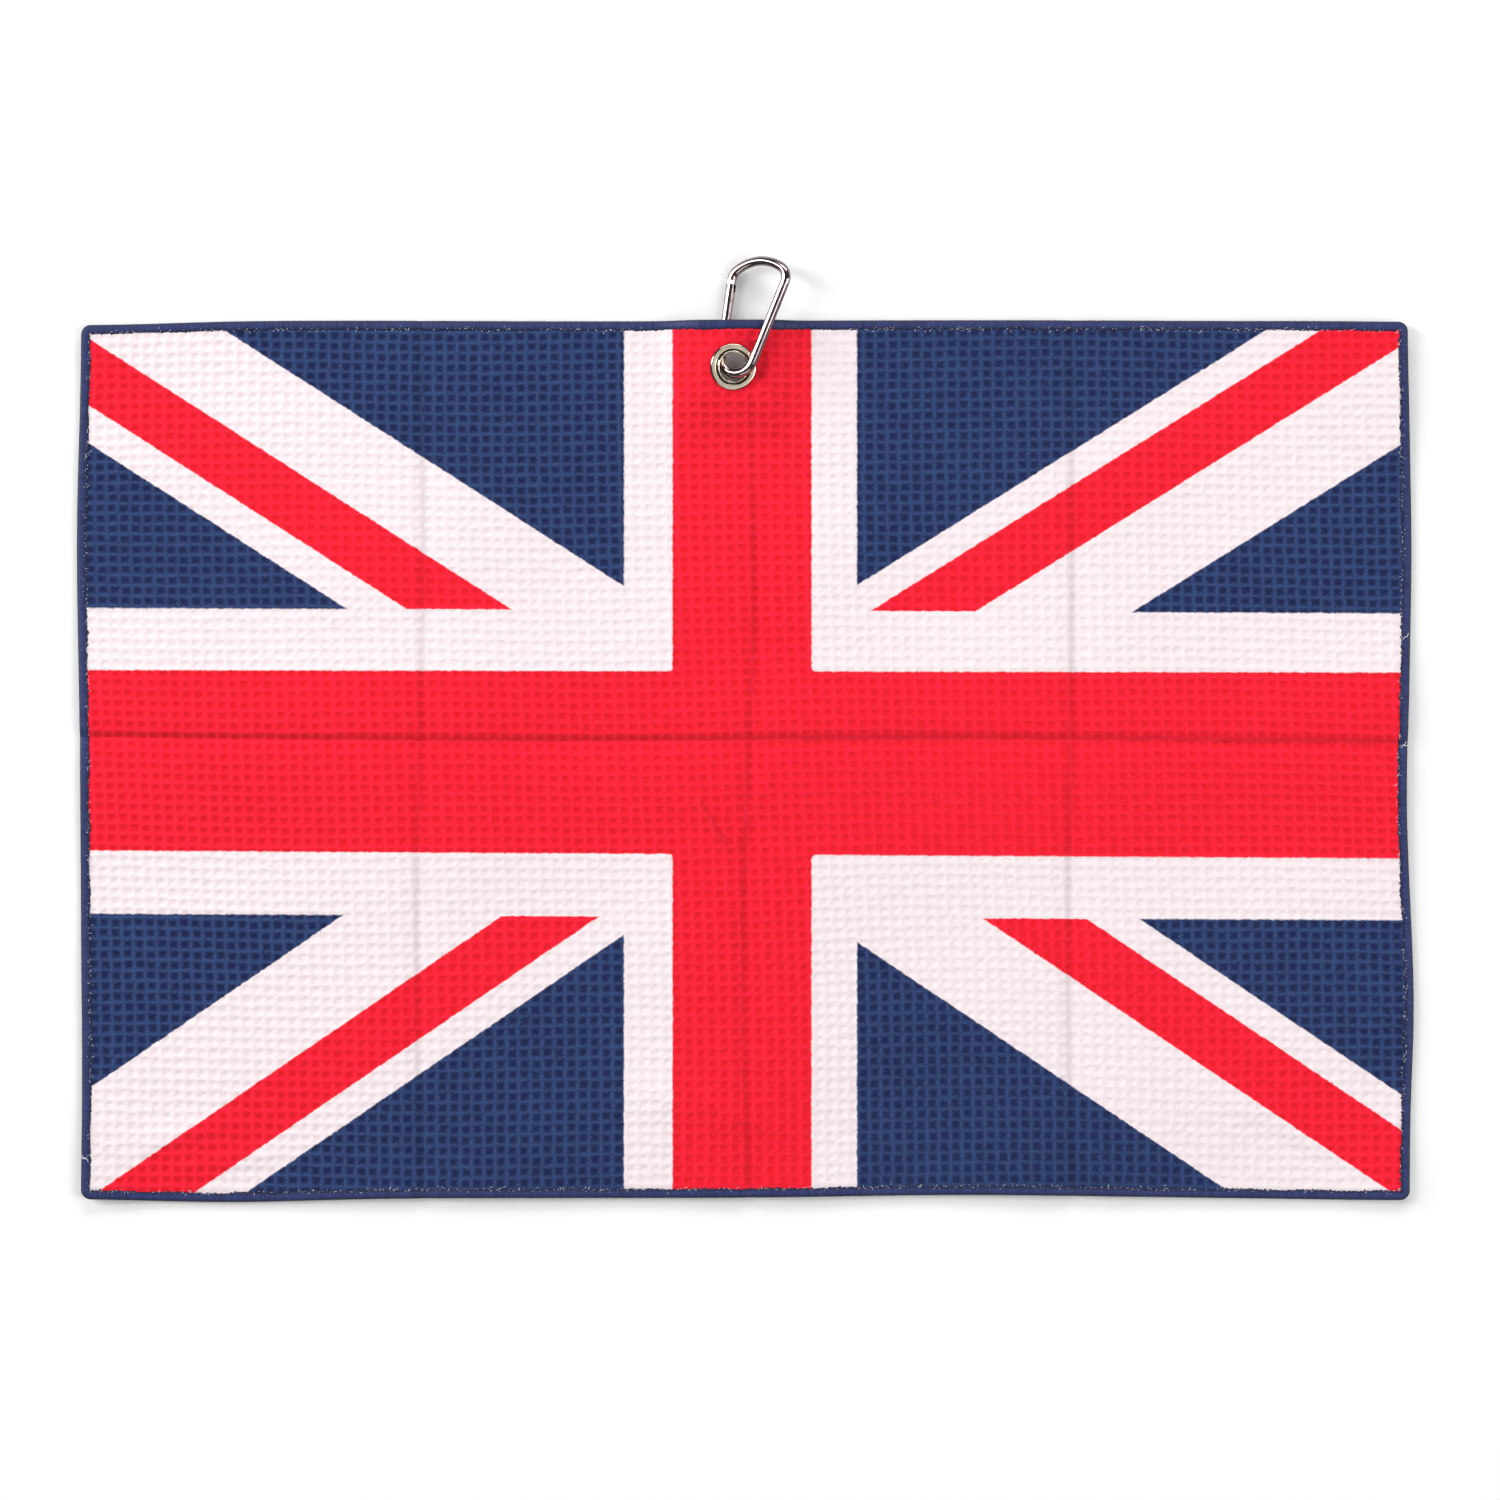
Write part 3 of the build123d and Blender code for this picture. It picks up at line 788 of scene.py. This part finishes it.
# ------------------------------------------------------------- metal materials
def plated(name, bright, dull, rough, wear_scale, bump_mm):
    """Bright plated metal with faint cloudy wear and fine polishing marks."""
    mat, tree, shader = new_material(name)
    coord = tree.nodes.new("ShaderNodeTexCoord")
    wear = noise(tree, coord.outputs["Object"], wear_scale, 5.0, 0.6)
    fine = noise(tree, coord.outputs["Object"], wear_scale * 14.0, 3.0, 0.6)
    amount = (Wire(tree, wear.outputs["Fac"]) - 0.35).math("MULTIPLY", 1.6, clamp=True)
    tree.links.new(mix(tree, amount, dull, bright), shader.inputs["Base Color"])
    rough_out = (Wire(tree, fine.outputs["Fac"]) - 0.5) * 0.05 + (1.0 - amount) * 0.05 + rough
    tree.links.new(rough_out.socket, shader.inputs["Roughness"])
    shader.inputs["Metallic"].default_value = 1.0
    bump(tree, fine.outputs["Fac"], 0.10, bump_mm * MM, shader)
    return mat


# middle of the grommet's ring above the ground, and the way its bore points
RING_HEIGHT = 7.55
RING_AXIS = (0.1651, -0.0848, 0.9826)


def groove(mat):
    """Paints shade into the ring's groove and the foot of its rim, picked out by distance from the bore's
    axis.
    """
    tree = mat.node_tree
    shader = next(n for n in tree.nodes if n.type == "BSDF_PRINCIPLED")
    coord = tree.nodes.new("ShaderNodeTexCoord")
    arm = tree.nodes.new("ShaderNodeVectorMath")
    arm.operation = "SUBTRACT"
    arm.inputs[1].default_value = (HOLE[0] * MM, HOLE[1] * MM, RING_HEIGHT * MM)
    tree.links.new(coord.outputs["Object"], arm.inputs[0])
    spread = tree.nodes.new("ShaderNodeVectorMath")
    spread.operation = "CROSS_PRODUCT"
    spread.inputs[1].default_value = RING_AXIS
    tree.links.new(arm.outputs[0], spread.inputs[0])
    radius = tree.nodes.new("ShaderNodeVectorMath")
    radius.operation = "LENGTH"
    tree.links.new(spread.outputs[0], radius.inputs[0])
    r = Wire(tree, radius.outputs["Value"]) * 1000.0
    inner = 1.0 - ((r - 7.85).absolute() / 0.62).math("ADD", 0.0, clamp=True)
    middle = (1.0 - ((r - 9.15).absolute() / 0.30).math("ADD", 0.0, clamp=True)) * 0.35
    outer = r.above(10.45, 0.4)
    # painted shade: darkest in the groove, fainter on a thin ring, and beyond the foot of the rim
    painted_groove_shade = (inner * 1.7).math("ADD", 0.0, clamp=True).max(outer).max(middle) * 0.93
    was = shader.inputs["Base Color"].links[0].from_socket
    tree.links.new(mix(tree, painted_groove_shade, was, srgb(30, 24, 20)), shader.inputs["Base Color"])


hook_metal = plated("bright_nickel_hook", srgb(194, 180, 181), srgb(142, 127, 127), 0.06, 160.0, 0.05)
grommet_metal = plated("warm_nickel_grommet", srgb(238, 228, 210), srgb(206, 192, 170), 0.10, 190.0, 0.06)
# painted shade in the grommet's groove and round its rim
groove(grommet_metal)
pin_metal = plated("drawn_steel_pin", srgb(196, 194, 192), srgb(140, 138, 136), 0.28, 260.0, 0.05)
spring_metal = plated("spring_steel_wire", srgb(150, 148, 146), srgb(104, 102, 100), 0.34, 300.0, 0.05)

for node, mat in (
    ("hook_body", hook_metal),
    ("hook_gate", hook_metal),
    ("grommet_eyelet", grommet_metal),
    ("grommet_washer", grommet_metal),
    ("hinge_pin", pin_metal),
    ("latch_pin", pin_metal),
    ("gate_plunger", pin_metal),
    ("gate_spring", spring_metal),
):
    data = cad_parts[node].data
    data.materials.clear()
    data.materials.append(mat)

# ------------------------------------------------------- frame and soft pieces
for piece in (cloth, edge_band, needle, tufts):
    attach(piece, "towel")
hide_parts("towel_cloth")
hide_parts("edge_upper_thread", "edge_lower_thread")
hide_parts("edge_needle_thread")

# ---------------------------------------------------------- floor, light, camera
FLOOR_HALF, FLOOR_Z = 4, -0.0003
floor_mesh = bpy.data.meshes.new("studio_floor")
floor_corners = [
    (-FLOOR_HALF, -FLOOR_HALF, FLOOR_Z),
    (FLOOR_HALF, -FLOOR_HALF, FLOOR_Z),
    (FLOOR_HALF, FLOOR_HALF, FLOOR_Z),
    (-FLOOR_HALF, FLOOR_HALF, FLOOR_Z),
]
floor_mesh.from_pydata(floor_corners, [], [(0, 1, 2, 3)])
floor = bpy.data.objects.new("studio_floor", floor_mesh)
bpy.context.scene.collection.objects.link(floor)
floor_mat, tree, shader = new_material("pale_floor")
shader.inputs["Base Color"].default_value = (0.94, 0.94, 0.94, 1.0)
shader.inputs["Roughness"].default_value = 0.9
shader.inputs["Specular IOR Level"].default_value = 0.0
floor.data.materials.append(floor_mat)


def softbox(name, location, size, power):
    """Rectangular area light pointed at the middle of the towel."""
    data = bpy.data.lights.new(name, "AREA")
    data.shape, data.size, data.size_y = "RECTANGLE", size[0], size[1]
    data.energy = power
    obj = bpy.data.objects.new(name, data)
    bpy.context.scene.collection.objects.link(obj)
    obj.location = location
    x, y, z = location
    obj.rotation_mode = "XYZ"
    obj.rotation_euler = (math.atan2(math.hypot(x, y), z), 0.0, math.atan2(-y, -x) - math.pi / 2)


softbox("key_left", (-2.3, 0.9, 1.25), (0.9, 2.6), 77.0)
softbox("fill_right", (2.1, -0.2, 1.5), (1.1, 2.4), 34.0)
softbox("ring_card", (1.15, -0.55, 2.1), (0.9, 1.5), 3.6)
softbox("back_top", (0.2, 2.2, 1.3), (2.4, 0.8), 35.0)
softbox("front_low", (-0.2, -2.1, 1.5), (2.4, 0.9), 13.0)

world = bpy.data.worlds.new("studio")
bpy.context.scene.world = world
bpy.context.scene.view_settings.view_transform = "Standard"
world.use_nodes = True
world.node_tree.nodes["Background"].inputs["Color"].default_value = (1.0, 1.0, 1.0, 1.0)
world.node_tree.nodes["Background"].inputs["Strength"].default_value = 0.10

# The view is straight down. It spans 688 mm of the towel's plane.
VIEW_W, EYE = 0.688, 2.6
VIEW_MID = (0.00275, 0.0045)
camera_data = bpy.data.cameras.new("camera")
camera_data.sensor_width = 36.0
camera_data.lens = 36.0 * EYE / VIEW_W
camera_data.clip_start, camera_data.clip_end = 0.05, 50.0
camera = bpy.data.objects.new("camera", camera_data)
bpy.context.scene.collection.objects.link(camera)
camera.location = (*VIEW_MID, EYE + 0.002)
camera.rotation_euler = (0.0, 0.0, 0.0)
bpy.context.scene.camera = camera
